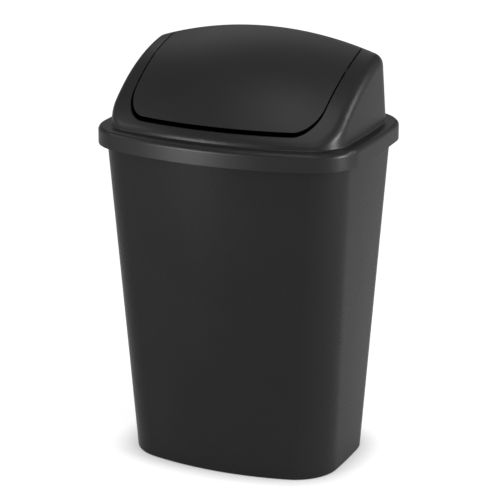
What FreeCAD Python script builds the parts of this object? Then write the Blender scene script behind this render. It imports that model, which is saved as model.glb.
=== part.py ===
import FreeCAD, Part
import math
import os

import Sketcher

# A swing-top kitchen bin: a tapered tub, a domed lid over its rim, and a flap that swings in the lid.
# Millimetres and degrees. +Z is up, the front faces -Y, and the origin is under the middle of the foot.

SIZES = {
    # Bin: two bowed outlines, one at the foot and one at the mouth, with a straight taper between them.
    "bin_height": 482.0,
    "base_width": 309.4,
    "base_depth": 230.0,
    "base_bow_radius": 416.0,
    "base_side_radius": 1135.0,
    "base_corner_radius": 66.0,
    "mouth_width": 368.6,
    "mouth_depth": 289.2,
    "mouth_bow_radius": 497.0,
    "mouth_side_radius": 1416.0,
    "mouth_corner_radius": 60.0,
    "bin_wall": 2.4,
    "floor_thickness": 3.0,
    "floor_edge_radius": 8.0,
    "foot_edge_radius": 2.5,
    "foot_ring": 14.0,
    "foot_recess": 4.0,
    "rim_reach": 7.5,
    "rim_thickness": 2.4,
    "rim_lip_drop": 9.0,
    # Lid: a skirt round the bin's rim, a flat ledge, and a hood that is arched from front to back.
    "lid_wall": 2.4,
    "skirt_clearance": 0.8,
    "skirt_drop": 22.4,
    "skirt_edge_radius": 2.5,
    "ledge_width": 18.5,
    "crease_radius": 2.5,
    "hood_height": 124.0,
    "hood_draft": 1.5,
    "crest_corner_radius": 78.0,
    "hood_edge_radius": 17.0,
    "front_rise": 5.5,
    "arch_radius": 320.0,
    "ridge_back": 62.0,
    "ridge_radius": 28.0,
    "rear_slope": 58.0,
    "crown_radius": 520.0,
    # Opening in the hood, and the flap that fills it.
    "cheek_width": 31.0,
    "opening_corner_radius": 30.0,
    "opening_front_rise": 15.5,
    "opening_rear_strip": 11.0,
    "side_gap": 2.5,
    "front_gap": 6.0,
    "rear_gap": 7.0,
    "flap_wall": 2.4,
    "flap_lip_depth": 10.0,
    "flap_lip_thickness": 2.2,
    # Pivot: a pin on each side of the flap turns in a web under each cheek of the hood.
    "pivot_back": 4.0,
    "pivot_depth": 5.3,
    "pin_radius": 3.2,
    "pin_clearance": 0.05,
    "collar_radius": 5.5,
    "collar_clearance": 0.3,
    "ear_radius": 10.0,
    "web_radius": 11.0,
    "web_thickness": 3.0,
    "pivot_lap": 1.0,
    # Room that the cutting tools keep beyond what they cut.
    "tool_margin": 20.0,
}

DERIVED = {
    "floor_height": "foot_recess + floor_thickness",
    "cavity_offset": "-bin_wall",
    "recess_offset": "-foot_ring",
    "lip_offset": "rim_reach",
    "lip_inner_offset": "rim_reach - rim_thickness",
    "skirt_inner_offset": "rim_reach + skirt_clearance",
    "skirt_offset": "skirt_inner_offset + lid_wall",
    "skirt_low": "bin_height - skirt_drop",
    "skirt_height": "skirt_drop + lid_wall",
    "ledge_height": "bin_height + lid_wall",
    "hood_top": "ledge_height + hood_height",
    "blank_top": "hood_top + tool_margin",
    "sky": "blank_top + hood_height",
    "hood_offset": "skirt_offset - ledge_width",
    "hood_head_offset": "hood_offset - (blank_top - bin_height) * tan(hood_draft)",
    "hollow_offset": "-lid_wall",
    "crest_width": "mouth_width + 2 * hood_head_offset",
    "crest_depth": "mouth_depth + 2 * hood_head_offset",
    "crest_bow_radius": "mouth_bow_radius + hood_head_offset",
    "crest_side_radius": "mouth_side_radius + hood_head_offset",
    # The hollow starts lower than the hood, on the hood's walls carried on down to the foot of the skirt.
    "root_offset": "hood_offset + skirt_drop * tan(hood_draft)",
    "root_width": "mouth_width + 2 * root_offset",
    "root_depth": "mouth_depth + 2 * root_offset",
    "root_bow_radius": "mouth_bow_radius + root_offset",
    "root_side_radius": "mouth_side_radius + root_offset",
    "hood_corner_radius": "mouth_corner_radius + hood_offset",
    "corner_growth": "(crest_corner_radius - hood_corner_radius) / (blank_top - bin_height)",
    "root_corner_radius": "hood_corner_radius - skirt_drop * corner_growth",
    "front_y": "-mouth_depth / 2 - hood_offset",
    "front_z": "ledge_height + front_rise",
    "ridge_z": "hood_top - ridge_radius",
    # The arch leaves the front wall at front_z and is tangent to the ridge: two circles cross at its centre.
    "chord_y": "ridge_back - front_y",
    "chord_z": "ridge_z - front_z",
    "chord": "sqrt(chord_y ^ 2 + chord_z ^ 2)",
    "chord_along": "(arch_radius ^ 2 - (arch_radius - ridge_radius) ^ 2 + chord ^ 2) / (2 * chord)",
    "chord_off": "sqrt(arch_radius ^ 2 - chord_along ^ 2)",
    "arch_y": "front_y + (chord_along * chord_y + chord_off * chord_z) / chord",
    "arch_z": "front_z + (chord_along * chord_z - chord_off * chord_y) / chord",
    "no_inset": "0",
    "lid_inset": "lid_wall",
    "flap_inset": "flap_wall",
    "lip_inset": "flap_wall + flap_lip_depth",
    # Each window is bowed like the hood round it: its sides and rear share the hood's centres, moved in.
    "side_centre": "mouth_side_radius - mouth_width / 2",
    "rear_centre": "mouth_bow_radius - mouth_depth / 2",
    "opening_half": "mouth_width / 2 + hood_offset - cheek_width",
    "opening_rear": "-front_y - opening_rear_strip",
    "opening_front_z": "ledge_height + opening_front_rise",
    "opening_corner": "opening_corner_radius",
    "flap_half": "opening_half - side_gap",
    "flap_rear": "opening_rear - rear_gap",
    "flap_front_z": "opening_front_z + front_gap",
    "flap_corner": "opening_corner - side_gap",
    "hollow_half": "flap_half - flap_lip_thickness",
    "hollow_rear": "flap_rear - flap_lip_thickness",
    "hollow_front_z": "flap_front_z + flap_lip_thickness",
    "hollow_corner": "flap_corner - flap_lip_thickness",
    "under_half": "flap_half + tool_margin",
    "under_rear": "flap_rear + tool_margin",
    "under_front_z": "flap_front_z - tool_margin",
    "under_corner": "flap_corner",
    # The pivot lies a set depth under the skin over its outer end, which the crown brings down.
    "crown_z": "hood_top - crown_radius",
    "pivot_reach": "opening_half + web_thickness",
    "pivot_crown": "arch_z + sqrt(arch_radius ^ 2 - (pivot_back - arch_y) ^ 2) - crown_z",
    "pivot_z": "crown_z + sqrt(pivot_crown ^ 2 - pivot_reach ^ 2) - pivot_depth",
    "bore_radius": "pin_radius + pin_clearance",
    # The pivot's pieces start inside the bowed walls that carry them, so no flat end grazes a curve.
    "web_start": "opening_half - pivot_lap",
    "web_length": "web_thickness + pivot_lap",
    "ear_start": "hollow_half - pivot_lap",
    "ear_length": "flap_lip_thickness + 2 * pivot_lap",
    "pin_start": "flap_half - flap_lip_thickness / 2",
    "collar_length": "opening_half - collar_clearance - pin_start",
    "pin_length": "opening_half + web_thickness - pin_start",
    "bore_length": "2 * (opening_half + web_thickness + tool_margin / 10)",
}

X_AXIS, Y_AXIS = range(-1, -3, -1)
START, END, CENTRE = range(1, 4)
ORIGIN = (X_AXIS, START)
UPRIGHT = 0.3

document = FreeCAD.newDocument("SwingTopBin")
sheet = document.addObject("Spreadsheet::Sheet", "sizes")


def fill_sheet():
    rows = [(name, str(value)) for name, value in SIZES.items()]
    rows += [(name, "=" + formula) for name, formula in DERIVED.items()]
    for row, (name, content) in enumerate(rows, start=1):
        sheet.set(f"A{row}", name)
        sheet.set(f"B{row}", content)
        sheet.setAlias(f"B{row}", name)
    document.recompute()


def size(name):
    return float(getattr(sheet, name))


def new_body(name):
    return document.addObject("PartDesign::Body", name)


def origin_feature(body, role):
    return next(feature for feature in body.Origin.OriginFeatures if feature.Role == role)


def new_sketch(body, name, plane, lift=None):
    """A sketch on one of the body's own planes, lifted off it by a size from the sheet."""
    sketch = body.newObject("Sketcher::SketchObject", name)
    sketch.AttachmentSupport = [(origin_feature(body, plane), "")]
    sketch.MapMode = "FlatFace"
    if lift:
        sketch.setExpression("AttachmentOffset.Base.z", f"sizes.{lift}")
    return sketch


def fix(sketch, name, kind, *elements, value, formula):
    """A named dimension of a sketch, bound to the sheet."""
    index = sketch.addConstraint(Sketcher.Constraint(kind, *elements, value))
    sketch.renameConstraint(index, name)
    sketch.setExpression(f"Constraints.{name}", formula)


def tie(sketch, kind, *elements):
    sketch.addConstraint(Sketcher.Constraint(kind, *elements))


def arc(centre, radius, start, end):
    circle = Part.Circle(FreeCAD.Vector(*centre, 0), FreeCAD.Vector(0, 0, 1), radius)
    return Part.ArcOfCircle(circle, start, end)


def line(start, end):
    return Part.LineSegment(FreeCAD.Vector(*start, 0), FreeCAD.Vector(*end, 0))


def corner_centre(bow, bow_y, side, side_x, corner):
    """The centre of an arc tangent to the bow at the front and the side on the right, inside both."""
    reach_bow = bow - corner
    reach_side = side - corner
    span = math.hypot(side_x, bow_y)
    along = (reach_bow ** 2 - reach_side ** 2 + span ** 2) / (2 * span)
    aside = math.sqrt(reach_bow ** 2 - along ** 2)
    return (aside * bow_y - along * side_x) / span, bow_y - (along * bow_y + aside * side_x) / span


def add_outline(sketch, level, offset):
    """The bowed plan outline at the base or the mouth, moved outwards by an offset: eight tangent arcs."""
    shift = size(offset)
    half_depth = size(f"{level}_depth") / 2 + shift
    half_width = size(f"{level}_width") / 2 + shift
    bow = size(f"{level}_bow_radius") + shift
    side = size(f"{level}_side_radius") + shift
    corner = size(f"{level}_corner_radius") + shift
    bow_y = bow - half_depth
    side_x = side - half_width
    corner_x, corner_y = corner_centre(bow, bow_y, side, side_x, corner)
    lean = math.atan2(corner_x, bow_y - corner_y)
    tilt = math.atan2(-corner_y, corner_x + side_x)
    quarter = math.pi / 2
    arcs = (
        arc((0, bow_y), bow, -quarter - lean, -quarter + lean),
        arc((corner_x, corner_y), corner, -quarter + lean, -tilt),
        arc((-side_x, 0), side, -tilt, tilt),
        arc((corner_x, -corner_y), corner, tilt, quarter - lean),
        arc((0, -bow_y), bow, quarter - lean, quarter + lean),
        arc((-corner_x, -corner_y), corner, quarter + lean, 2 * quarter - tilt),
        arc((side_x, 0), side, 2 * quarter - tilt, 2 * quarter + tilt),
        arc((-corner_x, corner_y), corner, 2 * quarter + tilt, 3 * quarter - lean),
    )
    front, front_right, right, rear_right, rear, rear_left, left, front_left = (
        sketch.addGeometry(piece, False) for piece in arcs)
    ring = (front, front_right, right, rear_right, rear, rear_left, left, front_left)
    for piece, following in zip(ring, ring[1:] + ring[:1]):
        tie(sketch, "Tangent", piece, END, following, START)
    for piece, axis in ((front, Y_AXIS), (rear, Y_AXIS), (right, X_AXIS), (left, X_AXIS)):
        tie(sketch, "PointOnObject", piece, CENTRE, axis)
    tie(sketch, "Equal", front, rear)
    tie(sketch, "Equal", right, left)
    for piece in (rear_right, rear_left, front_left):
        tie(sketch, "Equal", front_right, piece)
    name = f"{level}_{offset}_{front}"
    bow_formula = f"sizes.{level}_bow_radius - sizes.{level}_depth / 2"
    side_formula = f"sizes.{level}_side_radius - sizes.{level}_width / 2"
    fix(sketch, f"bow_{name}", "Radius", front, value=bow,
        formula=f"sizes.{level}_bow_radius + sizes.{offset}")
    fix(sketch, f"side_{name}", "Radius", right, value=side,
        formula=f"sizes.{level}_side_radius + sizes.{offset}")
    fix(sketch, f"corner_{name}", "Radius", front_right, value=corner,
        formula=f"sizes.{level}_corner_radius + sizes.{offset}")
    fix(sketch, f"front_{name}", "DistanceY", *ORIGIN, front, CENTRE, value=bow_y, formula=bow_formula)
    fix(sketch, f"rear_{name}", "DistanceY", rear, CENTRE, *ORIGIN, value=bow_y, formula=bow_formula)
    fix(sketch, f"right_{name}", "DistanceX", right, CENTRE, *ORIGIN, value=side_x, formula=side_formula)
    fix(sketch, f"left_{name}", "DistanceX", *ORIGIN, left, CENTRE, value=side_x, formula=side_formula)


def outline_sketch(body, name, lift, level, *offsets):
    sketch = new_sketch(body, name, "XY_Plane", lift)
    for offset in offsets:
        add_outline(sketch, level, offset)
    return sketch


def add_loft(body, name, kind, lower, upper):
    loft = body.newObject(f"PartDesign::{kind}", name)
    loft.Profile = lower
    loft.Sections = [upper]
    loft.Ruled = True
    document.recompute()
    return loft


def add_extrusion(body, name, kind, sketch, length, reverse=False, symmetric=False):
    extrusion = body.newObject(f"PartDesign::{kind}", name)
    extrusion.Profile = sketch
    extrusion.setExpression("Length", f"sizes.{length}")
    extrusion.Reversed = reverse
    if symmetric:
        extrusion.SideType = "Symmetric"
    document.recompute()
    return extrusion


def add_fillet(body, name, base, edges, radius):
    fillet = body.newObject("PartDesign::Fillet", name)
    fillet.Base = (base, edges)
    fillet.setExpression("Radius", radius)
    document.recompute()
    return fillet


def add_boolean(body, name, kind, tool):
    boolean = body.newObject("PartDesign::Boolean", name)
    boolean.setObjects([tool])
    boolean.Type = kind
    document.recompute()
    return boolean


def add_mirrored(body, name, originals):
    mirrored = body.newObject("PartDesign::Mirrored", name)
    mirrored.Originals = originals
    mirrored.MirrorPlane = (origin_feature(body, "YZ_Plane"), [""])
    body.Tip = mirrored
    document.recompute()
    return mirrored


def edge_rises(shape, edge):
    """How far the faces on the two sides of an edge look up, from 1 for level to 0 for upright."""
    middle = edge.valueAt((edge.FirstParameter + edge.LastParameter) / 2)
    rises = []
    for face in shape.ancestorsOfType(edge, Part.Face):
        u, v = face.Surface.parameter(middle)
        rises.append(face.normalAt(u, v).z)
    return sorted(rises)


def edges_at_height(feature, height):
    """Names of the edges that lie level at a height and where a level face meets a wall."""
    near = 0.01
    names = []
    for index, edge in enumerate(feature.Shape.Edges, start=1):
        box = edge.BoundBox
        if abs(box.ZMin - height) < near and abs(box.ZMax - height) < near:
            low, high = edge_rises(feature.Shape, edge)
            if high - low > UPRIGHT:
                names.append(f"Edge{index}")
    return names


def edges_of_hood(feature):
    """Names of the edges where the arched top meets the drafted walls."""
    names = []
    for index, edge in enumerate(feature.Shape.Edges, start=1):
        low, high = edge_rises(feature.Shape, edge)
        if high > UPRIGHT and abs(low) < UPRIGHT:
            names.append(f"Edge{index}")
    return names


def add_arch_groove(body, name, inset):
    """Cuts away all above the arch: a profile from front to back, turned about a low axis for the crown."""
    depth = size(inset)
    arch_radius = size("arch_radius") - depth
    ridge_radius = size("ridge_radius") - depth
    arch_centre = (size("arch_y"), size("arch_z"))
    ridge_centre = (size("ridge_back"), size("ridge_z"))
    margin = size("tool_margin")
    front_angle = math.atan2(size("front_z") - arch_centre[1], size("front_y") - arch_centre[0])
    joint_angle = math.atan2(ridge_centre[1] - arch_centre[1], ridge_centre[0] - arch_centre[0])
    rear_angle = math.pi / 2 - math.radians(size("rear_slope"))
    front = [arch_centre[i] + arch_radius * (math.cos, math.sin)[i](front_angle) for i in (0, 1)]
    rear = [ridge_centre[i] + ridge_radius * (math.cos, math.sin)[i](rear_angle) for i in (0, 1)]
    far_front = size("front_y") - margin
    far_rear = -size("front_y") + margin
    far_rear_z = rear[1] - (far_rear - rear[0]) * math.tan(math.radians(size("rear_slope")))
    sky = size("sky")
    axis_z = size("hood_top") - size("crown_radius")

    sketch = new_sketch(body, f"{name}_profile", "YZ_Plane")
    arch = sketch.addGeometry(arc(arch_centre, arch_radius, joint_angle, front_angle), False)
    ridge = sketch.addGeometry(arc(ridge_centre, ridge_radius, rear_angle, joint_angle), False)
    slope = sketch.addGeometry(line(rear, (far_rear, far_rear_z)), False)
    back = sketch.addGeometry(line((far_rear, far_rear_z), (far_rear, sky)), False)
    top = sketch.addGeometry(line((far_rear, sky), (far_front, sky)), False)
    face = sketch.addGeometry(line((far_front, sky), (far_front, front[1])), False)
    sill = sketch.addGeometry(line((far_front, front[1]), front), False)
    axis = sketch.addGeometry(line((0, axis_z), (margin, axis_z)), True)
    tie(sketch, "Tangent", arch, START, ridge, END)
    tie(sketch, "Tangent", ridge, START, slope, START)
    for piece, following in ((slope, back), (back, top), (top, face), (face, sill)):
        tie(sketch, "Coincident", piece, END, following, START)
    tie(sketch, "Coincident", sill, END, arch, END)
    for piece in (back, face):
        tie(sketch, "Vertical", piece)
    for piece in (top, sill, axis):
        tie(sketch, "Horizontal", piece)
    tie(sketch, "PointOnObject", axis, START, Y_AXIS)
    share = f"(sizes.arch_radius - sizes.{inset}) / sizes.arch_radius"
    fix(sketch, "arch_radius", "Radius", arch, value=arch_radius,
        formula=f"sizes.arch_radius - sizes.{inset}")
    fix(sketch, "ridge_radius", "Radius", ridge, value=ridge_radius,
        formula=f"sizes.ridge_radius - sizes.{inset}")
    fix(sketch, "arch_y", "DistanceX", *ORIGIN, arch, CENTRE, value=arch_centre[0], formula="sizes.arch_y")
    fix(sketch, "arch_z", "DistanceY", *ORIGIN, arch, CENTRE, value=arch_centre[1], formula="sizes.arch_z")
    fix(sketch, "ridge_back", "DistanceX", *ORIGIN, ridge, CENTRE, value=ridge_centre[0],
        formula="sizes.ridge_back")
    fix(sketch, "front_run", "DistanceX", arch, END, arch, CENTRE, value=arch_centre[0] - front[0],
        formula=f"(sizes.arch_y - sizes.front_y) * {share}")
    fix(sketch, "rear_fall", "DistanceY", slope, END, slope, START, value=rear[1] - far_rear_z,
        formula=f"(-sizes.front_y + sizes.tool_margin - sizes.ridge_back"
                f" - (sizes.ridge_radius - sizes.{inset}) * sin(sizes.rear_slope)) * tan(sizes.rear_slope)")
    fix(sketch, "rear_reach", "DistanceX", *ORIGIN, slope, END, value=far_rear,
        formula="-sizes.front_y + sizes.tool_margin")
    fix(sketch, "front_reach", "DistanceX", face, END, *ORIGIN, value=-far_front,
        formula="-sizes.front_y + sizes.tool_margin")
    fix(sketch, "sky", "DistanceY", *ORIGIN, top, START, value=sky, formula="sizes.sky")
    fix(sketch, "axis_depth", "DistanceY", axis, START, ridge, CENTRE, value=ridge_centre[1] - axis_z,
        formula="sizes.crown_radius - sizes.ridge_radius")
    fix(sketch, "axis_length", "DistanceX", axis, START, axis, END, value=margin,
        formula="sizes.tool_margin")
    groove = body.newObject("PartDesign::Groove", name)
    groove.Profile = sketch
    groove.ReferenceAxis = (sketch, ["Axis0"])
    groove.Angle = 90.0
    groove.Midplane = True
    document.recompute()
    return groove


def add_hood(body, name, lower, head_offset, inset):
    """The hood, or its hollow: drafted walls on a bowed outline, trimmed by the arch, with a rounded edge."""
    upper = outline_sketch(body, f"{name}_head", "blank_top", "crest", head_offset)
    add_loft(body, f"{name}_walls", "AdditiveLoft", lower, upper)
    arch = add_arch_groove(body, f"{name}_arch", inset)
    radius = f"sizes.hood_edge_radius - sizes.{inset}"
    return add_fillet(body, f"{name}_edge", arch, edges_of_hood(arch), radius)


def add_window(body, edge):
    """A prism down through the hood: bowed sides and rear, and a level sill at the front with rounded ends."""
    half = size(f"{edge}_half")
    rear_y = size(f"{edge}_rear")
    corner = size(f"{edge}_corner")
    sill = size(f"{edge}_front_z")
    side_x = size("side_centre")
    bow_y = size("rear_centre")
    front_y = size("front_y") - size("tool_margin")
    side = side_x + half
    bow = bow_y + rear_y
    corner_x, corner_y = corner_centre(bow, bow_y, side, side_x, corner)
    lean = math.atan2(corner_x, bow_y - corner_y)
    tilt = math.atan2(-corner_y, corner_x + side_x)
    dip = math.asin(front_y / side)
    front_x = side * math.cos(dip) - side_x
    quarter = math.pi / 2

    sketch = new_sketch(body, f"{edge}_outline", "XY_Plane", f"{edge}_front_z")
    front, right, right_corner, rear, left_corner, left = (sketch.addGeometry(piece, False) for piece in (
        line((-front_x, front_y), (front_x, front_y)),
        arc((-side_x, 0), side, dip, tilt),
        arc((corner_x, -corner_y), corner, tilt, quarter - lean),
        arc((0, -bow_y), bow, quarter - lean, quarter + lean),
        arc((-corner_x, -corner_y), corner, quarter + lean, 2 * quarter - tilt),
        arc((side_x, 0), side, 2 * quarter - tilt, 2 * quarter - dip),
    ))
    bowed = (right, right_corner, rear, left_corner, left)
    for piece, following in zip(bowed, bowed[1:]):
        tie(sketch, "Tangent", piece, END, following, START)
    tie(sketch, "Coincident", front, END, right, START)
    tie(sketch, "Coincident", left, END, front, START)
    tie(sketch, "Horizontal", front)
    for piece, axis in ((right, X_AXIS), (left, X_AXIS), (rear, Y_AXIS)):
        tie(sketch, "PointOnObject", piece, CENTRE, axis)
    tie(sketch, "Equal", right, left)
    tie(sketch, "Equal", right_corner, left_corner)
    fix(sketch, "side_radius", "Radius", right, value=side, formula=f"sizes.side_centre + sizes.{edge}_half")
    fix(sketch, "rear_radius", "Radius", rear, value=bow, formula=f"sizes.rear_centre + sizes.{edge}_rear")
    fix(sketch, "corner_radius", "Radius", right_corner, value=corner, formula=f"sizes.{edge}_corner")
    fix(sketch, "right_centre", "DistanceX", right, CENTRE, *ORIGIN, value=side_x,
        formula="sizes.side_centre")
    fix(sketch, "left_centre", "DistanceX", *ORIGIN, left, CENTRE, value=side_x,
        formula="sizes.side_centre")
    fix(sketch, "rear_centre", "DistanceY", rear, CENTRE, *ORIGIN, value=bow_y, formula="sizes.rear_centre")
    fix(sketch, "front_reach", "DistanceY", front, START, *ORIGIN, value=-front_y,
        formula="sizes.tool_margin - sizes.front_y")
    pad = body.newObject("PartDesign::Pad", f"{edge}_prism")
    pad.Profile = sketch
    pad.setExpression("Length", f"sizes.sky - sizes.{edge}_front_z")
    document.recompute()
    boxes = {name: pad.Shape.getElement(name).BoundBox for name in edges_at_height(pad, sill)}
    sides = [name for name, box in boxes.items() if abs(box.YMin - front_y) < box.YLength]
    add_fillet(body, f"{edge}_sill_ends", pad, sides, f"sizes.{edge}_corner")


def add_pivot_disc(body, name, kind, lift, radius, length, reverse=False):
    """A round boss or recess on the pivot's axis, standing on a plane of constant X."""
    sketch = new_sketch(body, f"{name}_circle", "YZ_Plane", lift)
    centre = FreeCAD.Vector(size("pivot_back"), size("pivot_z"), 0)
    circle = sketch.addGeometry(Part.Circle(centre, FreeCAD.Vector(0, 0, 1), size(radius)), False)
    fix(sketch, "radius", "Radius", circle, value=size(radius), formula=f"sizes.{radius}")
    fix(sketch, "back", "DistanceX", *ORIGIN, circle, CENTRE, value=centre.x, formula="sizes.pivot_back")
    fix(sketch, "height", "DistanceY", *ORIGIN, circle, CENTRE, value=centre.y, formula="sizes.pivot_z")
    return add_extrusion(body, name, kind, sketch, length, reverse, symmetric=lift is None)


def build_bin():
    body = new_body("bin_body")
    foot = outline_sketch(body, "foot_outline", None, "base", "no_inset")
    mouth = outline_sketch(body, "mouth_outline", "bin_height", "mouth", "no_inset")
    add_loft(body, "wall", "AdditiveLoft", foot, mouth)
    rim_outline = outline_sketch(body, "rim_outline", "bin_height", "mouth", "lip_offset")
    rim = add_extrusion(body, "rim", "Pad", rim_outline, "rim_thickness", reverse=True)
    add_fillet(body, "foot_edge", rim, edges_at_height(rim, 0.0), "sizes.foot_edge_radius")
    floor = outline_sketch(body, "floor_outline", "floor_height", "base", "cavity_offset")
    opening = outline_sketch(body, "cavity_outline", "bin_height", "mouth", "cavity_offset")
    cavity = add_loft(body, "cavity", "SubtractiveLoft", floor, opening)
    add_fillet(body, "floor_edge", cavity, edges_at_height(cavity, size("floor_height")),
               "sizes.floor_edge_radius")
    lip = outline_sketch(body, "lip_outline", "bin_height", "mouth", "lip_offset", "lip_inner_offset")
    add_extrusion(body, "rim_lip", "Pad", lip, "rim_lip_drop", reverse=True)
    recess = outline_sketch(body, "recess_outline", None, "base", "recess_offset")
    add_extrusion(body, "foot_recess", "Pocket", recess, "foot_recess", reverse=True)
    return body


def build_skirt():
    body = new_body("lid_skirt")
    outside = outline_sketch(body, "skirt_outline", "skirt_low", "mouth", "skirt_offset")
    skirt = add_extrusion(body, "skirt", "Pad", outside, "skirt_height")
    brow = edges_at_height(skirt, size("ledge_height"))
    add_fillet(body, "skirt_edge", skirt, brow, "sizes.skirt_edge_radius")
    inside = outline_sketch(body, "skirt_inside_outline", "skirt_low", "mouth", "skirt_inner_offset")
    add_extrusion(body, "skirt_inside", "Pocket", inside, "skirt_drop", reverse=True)
    return body


def build_lid():
    hollow = new_body("hood_hollow")
    root = outline_sketch(hollow, "hollow_foot", "skirt_low", "root", "hollow_offset")
    add_hood(hollow, "hollow", root, "hollow_offset", "lid_inset")
    web = add_web(hollow)
    add_mirrored(hollow, "webs", [web])
    opening = new_body("hood_opening")
    add_window(opening, "opening")

    body = new_body("lid_hood")
    foot = outline_sketch(body, "hood_foot", "bin_height", "mouth", "hood_offset")
    add_hood(body, "hood", foot, "no_inset", "no_inset")
    ledge = add_boolean(body, "ledge", "Fuse", build_skirt())
    add_fillet(body, "crease", ledge, edges_at_height(ledge, size("ledge_height")), "sizes.crease_radius")
    add_boolean(body, "hood_inside", "Cut", hollow)
    add_boolean(body, "flap_opening", "Cut", opening)
    add_pivot_disc(body, "pivot_bore", "Pocket", None, "bore_radius", "bore_length")
    return body


def add_web(body):
    """Leaves room in the hollow for the web that carries the pivot's bore: a tongue with a round foot."""
    sketch = new_sketch(body, "web_outline", "YZ_Plane", "web_start")
    middle = size("pivot_back")
    low = size("pivot_z")
    radius = size("web_radius")
    sky = size("blank_top")
    foot = sketch.addGeometry(arc((middle, low), radius, math.pi, 2 * math.pi), False)
    rear = sketch.addGeometry(line((middle + radius, low), (middle + radius, sky)), False)
    top = sketch.addGeometry(line((middle + radius, sky), (middle - radius, sky)), False)
    front = sketch.addGeometry(line((middle - radius, sky), (middle - radius, low)), False)
    tie(sketch, "Tangent", foot, END, rear, START)
    tie(sketch, "Tangent", front, END, foot, START)
    tie(sketch, "Coincident", rear, END, top, START)
    tie(sketch, "Coincident", top, END, front, START)
    tie(sketch, "Vertical", rear)
    tie(sketch, "Vertical", front)
    tie(sketch, "Horizontal", top)
    fix(sketch, "radius", "Radius", foot, value=radius, formula="sizes.web_radius")
    fix(sketch, "back", "DistanceX", *ORIGIN, foot, CENTRE, value=middle, formula="sizes.pivot_back")
    fix(sketch, "height", "DistanceY", *ORIGIN, foot, CENTRE, value=low, formula="sizes.pivot_z")
    fix(sketch, "sky", "DistanceY", *ORIGIN, top, START, value=sky, formula="sizes.blank_top")
    return add_extrusion(body, "web", "Pocket", sketch, "web_length", reverse=True)


def build_flap():
    hollow = new_body("flap_hollow")
    add_window(hollow, "hollow")
    add_arch_groove(hollow, "hollow_arch", "flap_inset")
    under = new_body("flap_under")
    add_window(under, "under")
    add_arch_groove(under, "under_arch", "lip_inset")
    ear = add_pivot_disc(under, "ear", "Pocket", "ear_start", "ear_radius", "ear_length", reverse=True)
    add_mirrored(under, "ears", [ear])

    body = new_body("swing_flap")
    add_window(body, "flap")
    add_arch_groove(body, "skin", "no_inset")
    add_boolean(body, "inside", "Cut", hollow)
    add_boolean(body, "lip", "Cut", under)
    collar = add_pivot_disc(body, "collar", "Pad", "pin_start", "collar_radius", "collar_length")
    pin = add_pivot_disc(body, "pin", "Pad", "pin_start", "pin_radius", "pin_length")
    add_mirrored(body, "pivots", [collar, pin])
    return body


def check_document():
    failed = [item.Name for item in document.Objects if {"Invalid", "Error"} & set(item.State)]
    if failed:
        raise RuntimeError("not built: " + ", ".join(failed))


def write_parts(bodies):
    os.makedirs("parts", exist_ok=True)
    for body in bodies:
        shape = body.Shape
        if shape.isNull() or not shape.isValid() or len(shape.Solids) != 1:
            raise RuntimeError(f"{body.Label} is not one sound solid")
        shape.exportStep(f"parts/{body.Label}.step")
        box = shape.optimalBoundingBox(False, False)
        print(f"{body.Label}: {shape.Volume / 1000:.1f} cm3, {box.XLength:.1f} x {box.YLength:.1f} x"
              f" {box.ZLength:.1f} mm, from z {box.ZMin:.1f}")


fill_sheet()
bodies = [build_bin(), build_lid(), build_flap()]
document.recompute()
check_document()
write_parts(bodies)
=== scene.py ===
import math

import bpy
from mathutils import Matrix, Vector
from mathutils.geometry import intersect_point_line


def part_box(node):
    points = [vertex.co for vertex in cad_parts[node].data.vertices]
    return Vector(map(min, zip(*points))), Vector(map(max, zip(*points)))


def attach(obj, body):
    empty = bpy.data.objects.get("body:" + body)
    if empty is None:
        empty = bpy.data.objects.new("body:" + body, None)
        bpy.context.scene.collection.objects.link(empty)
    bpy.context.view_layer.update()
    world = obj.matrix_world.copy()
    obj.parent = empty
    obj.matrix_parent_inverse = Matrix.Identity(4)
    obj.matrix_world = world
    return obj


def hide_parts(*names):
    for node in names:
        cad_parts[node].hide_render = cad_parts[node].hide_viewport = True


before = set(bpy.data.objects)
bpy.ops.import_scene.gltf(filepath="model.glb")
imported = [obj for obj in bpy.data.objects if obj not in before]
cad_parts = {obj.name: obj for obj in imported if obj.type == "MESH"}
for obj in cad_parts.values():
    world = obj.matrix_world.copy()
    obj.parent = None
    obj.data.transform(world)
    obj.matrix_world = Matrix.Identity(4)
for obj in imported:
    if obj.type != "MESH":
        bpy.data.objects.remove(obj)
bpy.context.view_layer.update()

scene = bpy.context.scene
print("frame loaded:", ", ".join(sorted(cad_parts)))


# small helpers for nodes, objects and directions

def addNode(tree, kind, **settings):
    node = tree.nodes.new(kind)
    for name, value in settings.items():
        setattr(node, name, value)
    return node


def setInputs(node, **values):        # an underscore stands for a space in a socket's name
    for name, value in values.items():
        node.inputs[name.replace("_", " ")].default_value = value
    return node


def newMaterial(name):
    material = bpy.data.materials.new(name)
    material.use_nodes = True
    return material, material.node_tree, material.node_tree.nodes["Principled BSDF"]


def opaque(colour):
    return (*colour, 1.0)


def addObject(name, data):
    thing = bpy.data.objects.new(name, data)
    scene.collection.objects.link(thing)
    return thing


def turnTo(thing, aim, azimuth, elevation, distance):        # azimuth runs from the front to the right
    azimuth = math.radians(azimuth)
    elevation = math.radians(elevation)
    level = math.cos(elevation)
    away = Vector((math.sin(azimuth) * level, -math.cos(azimuth) * level, math.sin(elevation)))
    thing.location = Vector(aim) + away * distance
    thing.rotation_euler = away.to_track_quat("Z", "Y").to_euler()


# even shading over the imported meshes: corners that meet are joined, and only real edges stay sharp

shadingSetup = {
    "joinWithin": 0.00001,
    "sharpFrom": 32.0,        # degrees between two faces
}


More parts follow.
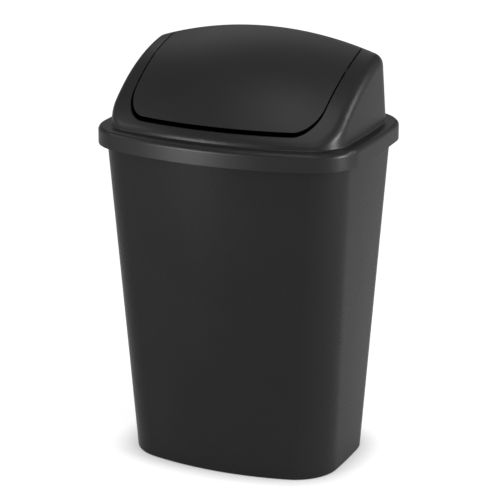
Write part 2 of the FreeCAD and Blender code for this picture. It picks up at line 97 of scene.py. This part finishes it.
def makeEvenShading(setup):
    tree = bpy.data.node_groups.new("evenShading", "GeometryNodeTree")
    for side in ("INPUT", "OUTPUT"):
        tree.interface.new_socket("Geometry", in_out=side, socket_type="NodeSocketGeometry")
    given = addNode(tree, "NodeGroupInput")
    result = addNode(tree, "NodeGroupOutput")
    join = setInputs(addNode(tree, "GeometryNodeMergeByDistance"), Distance=setup["joinWithin"])
    angle = addNode(tree, "GeometryNodeInputMeshEdgeAngle")
    sharp = addNode(tree, "FunctionNodeCompare", data_type="FLOAT", operation="GREATER_THAN")
    setInputs(sharp, B=math.radians(setup["sharpFrom"]))
    normal = addNode(tree, "GeometryNodeSetMeshNormal", mode="SHARPNESS")
    setInputs(normal, Remove_Custom=True)
    link = tree.links.new
    link(given.outputs[0], join.inputs["Geometry"])
    link(join.outputs["Geometry"], normal.inputs["Mesh"])
    link(angle.outputs["Unsigned Angle"], sharp.inputs["A"])
    link(sharp.outputs["Result"], normal.inputs["Edge Sharpness"])
    link(normal.outputs["Mesh"], result.inputs[0])
    return tree


evenShading = makeEvenShading(shadingSetup)


def shadeEvenly(piece):
    piece.modifiers.new("evenShading", "NODES").node_group = evenShading
    weights = piece.modifiers.new("faceWeights", "WEIGHTED_NORMAL")
    weights.mode = "FACE_AREA_WITH_ANGLE"
    weights.keep_sharp = True


# lid shell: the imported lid, with the softer brow that the photograph shows along the top of its skirt

skirtBrow = {
    "radius": 0.0068,
    "solidRadius": 0.0025,
    "height": 0.0248,           # of the ledge over the skirt's foot
    "slack": 0.0003,            # how far a corner of the mesh may lie from the true round
    "footSlack": 0.00001,       # how far from the line where the round meets the skirt's side
    "decimals": 5,              # corners that agree to these are one spot of that line
}


def nearestOnOutline(place, outline):
    spots = []
    for start, end in zip(outline, outline[1:] + outline[:1]):
        spot, share = intersect_point_line(place, start, end)
        spots.append(start if share < 0 else end if share > 1 else spot)
    return min(spots, key=lambda spot: (spot - place).length_squared)


def softenBrow(mesh, brow, ledge):
    solidRadius = brow["solidRadius"]
    slack = brow["slack"]
    growth = brow["radius"] / solidRadius - 1
    corners = [corner for corner in mesh.vertices
               if -slack < ledge - corner.co.z < solidRadius + slack]
    foot = {corner.co.xy.to_tuple(brow["decimals"]) for corner in corners
            if abs(ledge - corner.co.z - solidRadius) < brow["footSlack"]}
    outline = [Vector(spot) for spot in sorted(foot, key=lambda spot: math.atan2(spot[1], spot[0]))]
    moved = 0
    for corner in corners:
        drop = min(max(ledge - corner.co.z, 0.0), solidRadius)
        rise = 1 - drop / solidRadius
        inset = solidRadius * (1 - math.sqrt(1 - rise * rise))
        inward = corner.co.xy - nearestOnOutline(corner.co.xy, outline)
        if abs(inward.length - inset) < slack:        # it lies on the solid's round
            corner.co.xy += inward * growth
            corner.co.z -= drop * growth
            moved += 1
    return moved


def makeLidShell(brow):
    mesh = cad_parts["lid_hood"].data.copy()
    mesh.name = "lidShell"
    moved = softenBrow(mesh, brow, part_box("lid_hood")[0][2] + brow["height"])
    shell = addObject("lidShell", mesh)
    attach(shell, "lid")
    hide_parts("lid_hood")
    print("lid shell made,", moved, "corners of its brow moved")
    return shell


lidShell = makeLidShell(skirtBrow)


# moulded plastic: a spark-eroded grain, and a slow drift in gloss and colour where the melt flowed

grainSetup = {
    "grainDetail": 3.0,
    "grainRoughness": 0.62,
    "flowDetail": 2.0,
    "flowRoughness": 0.45,
    "grainShare": 0.4,        # of the tone, and the flow has the rest
}


def addMottle(tree, place, size, detail, roughness):
    scale = addNode(tree, "ShaderNodeMath", operation="DIVIDE")
    scale.inputs[0].default_value = 1.0
    mottle = setInputs(addNode(tree, "ShaderNodeTexNoise"), Detail=detail, Roughness=roughness)
    tree.links.new(size, scale.inputs[1])
    tree.links.new(scale.outputs[0], mottle.inputs["Scale"])
    tree.links.new(place, mottle.inputs["Vector"])
    return mottle.outputs["Fac"]


def makeMouldGrain(setup):
    tree = bpy.data.node_groups.new("mouldGrain", "ShaderNodeTree")
    for name, side in (("Grain Size", "INPUT"), ("Flow Size", "INPUT"),
                       ("Height", "OUTPUT"), ("Tone", "OUTPUT")):
        tree.interface.new_socket(name, in_out=side, socket_type="NodeSocketFloat")
    given = addNode(tree, "NodeGroupInput")
    result = addNode(tree, "NodeGroupOutput")
    place = addNode(tree, "ShaderNodeTexCoord").outputs["Object"]
    grain = addMottle(tree, place, given.outputs["Grain Size"],
                      setup["grainDetail"], setup["grainRoughness"])
    flow = addMottle(tree, place, given.outputs["Flow Size"],
                     setup["flowDetail"], setup["flowRoughness"])
    tone = addNode(tree, "ShaderNodeMix", data_type="FLOAT")
    setInputs(tone, Factor=setup["grainShare"])
    tree.links.new(flow, tone.inputs["A"])
    tree.links.new(grain, tone.inputs["B"])
    tree.links.new(grain, result.inputs["Height"])
    tree.links.new(tone.outputs["Result"], result.inputs["Tone"])
    return tree


mouldGrain = makeMouldGrain(grainSetup)


def makePlastic(name, look):
    material, tree, shader = newMaterial(name)
    setInputs(shader, Specular_IOR_Level=look["specular"])
    grain = addNode(tree, "ShaderNodeGroup", node_tree=mouldGrain)
    setInputs(grain, Grain_Size=look["grainSize"], Flow_Size=look["flowSize"])
    tint = addNode(tree, "ShaderNodeMix", data_type="RGBA")
    setInputs(tint, A=opaque(look["darkColour"]), B=opaque(look["paleColour"]))
    gloss = addNode(tree, "ShaderNodeMapRange", interpolation_type="SMOOTHSTEP")
    setInputs(gloss, From_Min=look["toneLow"], From_Max=look["toneHigh"],
              To_Min=look["roughness"] - look["roughnessDrift"],
              To_Max=look["roughness"] + look["roughnessDrift"])
    bump = addNode(tree, "ShaderNodeBump")
    setInputs(bump, Strength=look["grainStrength"], Distance=look["grainDepth"])
    link = tree.links.new
    link(grain.outputs["Tone"], tint.inputs["Factor"])
    link(tint.outputs["Result"], shader.inputs["Base Color"])
    link(grain.outputs["Tone"], gloss.inputs["Value"])
    link(gloss.outputs["Result"], shader.inputs["Roughness"])
    link(grain.outputs["Height"], bump.inputs["Height"])
    link(bump.outputs["Normal"], shader.inputs["Normal"])
    return material


binLook = {
    "darkColour": (0.015, 0.015, 0.0155),
    "paleColour": (0.019, 0.019, 0.0195),
    "roughness": 0.27,
    "roughnessDrift": 0.03,
    "toneLow": 0.2,           # the tones at which the drift in roughness starts and ends
    "toneHigh": 0.8,
    "specular": 0.12,
    "grainSize": 0.0018,
    "grainDepth": 0.00006,
    "grainStrength": 0.5,
    "flowSize": 0.11,
}
lidLook = dict(binLook, roughness=0.33, specular=0.2, flowSize=0.08)
flapLook = dict(binLook, roughness=0.42, specular=0.2, flowSize=0.08)

for piece, materialName, look in (
        (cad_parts["bin_body"], "binPlastic", binLook),
        (lidShell, "lidPlastic", lidLook),
        (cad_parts["swing_flap"], "flapPlastic", flapLook)):
    piece.data.materials.clear()
    piece.data.materials.append(makePlastic(materialName, look))
    shadeEvenly(piece)
print("plastics assigned")


# pale sweep that the bin stands on: level round the bin, and turned up far away on every side

floorLook = {
    "colour": (0.3, 0.3, 0.3),
    "roughness": 0.9,
    "specular": 0.0,
    "liftColour": (1.0, 1.0, 1.0),
    "nearLift": 0.85,         # what the camera sees on top of the lit floor
    "farLift": 1.0,
    "nearReach": 0.8,
    "farReach": 3.0,
    "mirrorShare": 0.36,      # how much of the lift is seen in reflections
    "paintedFootShadow": 0.95,        # painted contact shadow: how far the lift is taken back where the bin covers the floor
    "footReach": 0.042,
    "footSamples": 6,
    "rings": [(6.0, 0.0), (17.0, 0.0), (20.0, 0.4), (22.0, 1.6), (23.0, 3.6)],    # radius, height
    "sides": 96,
}


def makeSweep(look):
    sides = look["sides"]
    corners = [(0.0, 0.0, 0.0)]
    for radius, height in look["rings"]:
        for step in range(sides):
            turn = 2 * math.pi * step / sides
            corners.append((radius * math.cos(turn), radius * math.sin(turn), height))
    faces = [(0, 1 + step, 1 + (step + 1) % sides) for step in range(sides)]
    for ring in range(len(look["rings"]) - 1):
        inner = 1 + ring * sides
        outer = inner + sides
        for step in range(sides):
            following = (step + 1) % sides
            faces.append((inner + step, outer + step, outer + following, inner + following))
    mesh = bpy.data.meshes.new("floor")
    mesh.from_pydata(corners, [], faces)
    mesh.shade_smooth()
    return mesh


def makeFloorPaper(look):
    material, tree, shader = newMaterial("floorPaper")
    setInputs(shader, Base_Color=opaque(look["colour"]), Roughness=look["roughness"],
              Specular_IOR_Level=look["specular"], Emission_Color=opaque(look["liftColour"]))
    place = addNode(tree, "ShaderNodeTexCoord")
    reach = addNode(tree, "ShaderNodeVectorMath", operation="LENGTH")
    lift = addNode(tree, "ShaderNodeMapRange", interpolation_type="SMOOTHSTEP")
    setInputs(lift, From_Min=look["nearReach"], From_Max=look["farReach"],
              To_Min=look["nearLift"], To_Max=look["farLift"])
    path = addNode(tree, "ShaderNodeLightPath")
    mirrored = addNode(tree, "ShaderNodeMath", operation="MULTIPLY")
    mirrored.inputs[1].default_value = look["mirrorShare"]
    through = addNode(tree, "ShaderNodeMath", operation="MAXIMUM")
    seen = addNode(tree, "ShaderNodeMath", operation="MAXIMUM")
    # painted contact shadow: ambient occlusion near the bin takes the lift back, darkening the floor's
    # glow round the foot
    openness = addNode(tree, "ShaderNodeAmbientOcclusion", samples=look["footSamples"])
    setInputs(openness, Distance=look["footReach"])
    shade = setInputs(addNode(tree, "ShaderNodeMapRange"), To_Min=1.0 - look["paintedFootShadow"])
    shaded = addNode(tree, "ShaderNodeMath", operation="MULTIPLY")
    strength = addNode(tree, "ShaderNodeMath", operation="MULTIPLY")
    link = tree.links.new
    link(place.outputs["Object"], reach.inputs[0])
    link(reach.outputs["Value"], lift.inputs["Value"])
    link(path.outputs["Is Glossy Ray"], mirrored.inputs[0])
    link(path.outputs["Is Camera Ray"], through.inputs[0])
    link(path.outputs["Is Transmission Ray"], through.inputs[1])
    link(through.outputs[0], seen.inputs[0])
    link(mirrored.outputs[0], seen.inputs[1])
    link(seen.outputs[0], strength.inputs[0])
    link(openness.outputs["AO"], shade.inputs["Value"])
    link(lift.outputs["Result"], shaded.inputs[0])
    link(shade.outputs["Result"], shaded.inputs[1])
    link(shaded.outputs[0], strength.inputs[1])
    link(strength.outputs[0], shader.inputs["Emission Strength"])
    return material


def makeFloor(look):
    floor = addObject("floor", makeSweep(look))
    floor.data.materials.append(makeFloorPaper(look))


makeFloor(floorLook)
print("floor laid")


# soft boxes round the bin, each turned to its middle

lightRig = {
    "aim": (0.0, 0.0, 0.33),
    "distance": 2.2,
    "ambient": 0.12,
    "ambientColour": (1.0, 1.0, 1.0),
    "boxes": [
        # name, azimuth, elevation, width, height, power
        ("rightStrip", 88, 9, 0.7, 0.9, 54.0),
        ("rightBox", 114, 28, 0.7, 0.7, 13.0),
        ("leftStrip", -28, 4, 0.6, 0.96, 37.0),
        ("leftBox", -70, 30, 0.9, 0.9, 6.0),
        ("backLeftBox", -155, 40, 1.6, 0.9, 4.5),
        ("topBox", 0, 78, 0.9, 0.9, 9.0),
        ("frontBox", 24, 45, 0.9, 0.9, 5.0),
    ],
}


def makeLights(rig):
    for name, azimuth, elevation, width, height, power in rig["boxes"]:
        lamp = bpy.data.lights.new(name, "AREA")
        lamp.shape = "RECTANGLE"
        lamp.size = width
        lamp.size_y = height
        lamp.energy = power
        turnTo(addObject(name, lamp), rig["aim"], azimuth, elevation, rig["distance"])
    world = bpy.data.worlds.new("studio")
    world.use_nodes = True
    setInputs(world.node_tree.nodes["Background"],
              Color=opaque(rig["ambientColour"]), Strength=rig["ambient"])
    scene.world = world


makeLights(lightRig)
print("lights ready")


# camera where the photograph was taken from

cameraSetup = {
    "azimuth": 24.0,
    "elevation": 17.6,
    "distance": 3.0978,
    "aim": (0.0011, 0.0005, 0.2962),
    "lens": 156.74,
    "sensorWidth": 36.0,
    "clipEnd": 100.0,
}


def makeCamera(setup):
    lens = bpy.data.cameras.new("camera")
    lens.lens = setup["lens"]
    lens.sensor_width = setup["sensorWidth"]
    lens.clip_end = setup["clipEnd"]
    camera = addObject("camera", lens)
    turnTo(camera, setup["aim"], setup["azimuth"], setup["elevation"], setup["distance"])
    scene.camera = camera


makeCamera(cameraSetup)
scene.view_settings.view_transform = "Standard"
print("camera ready")
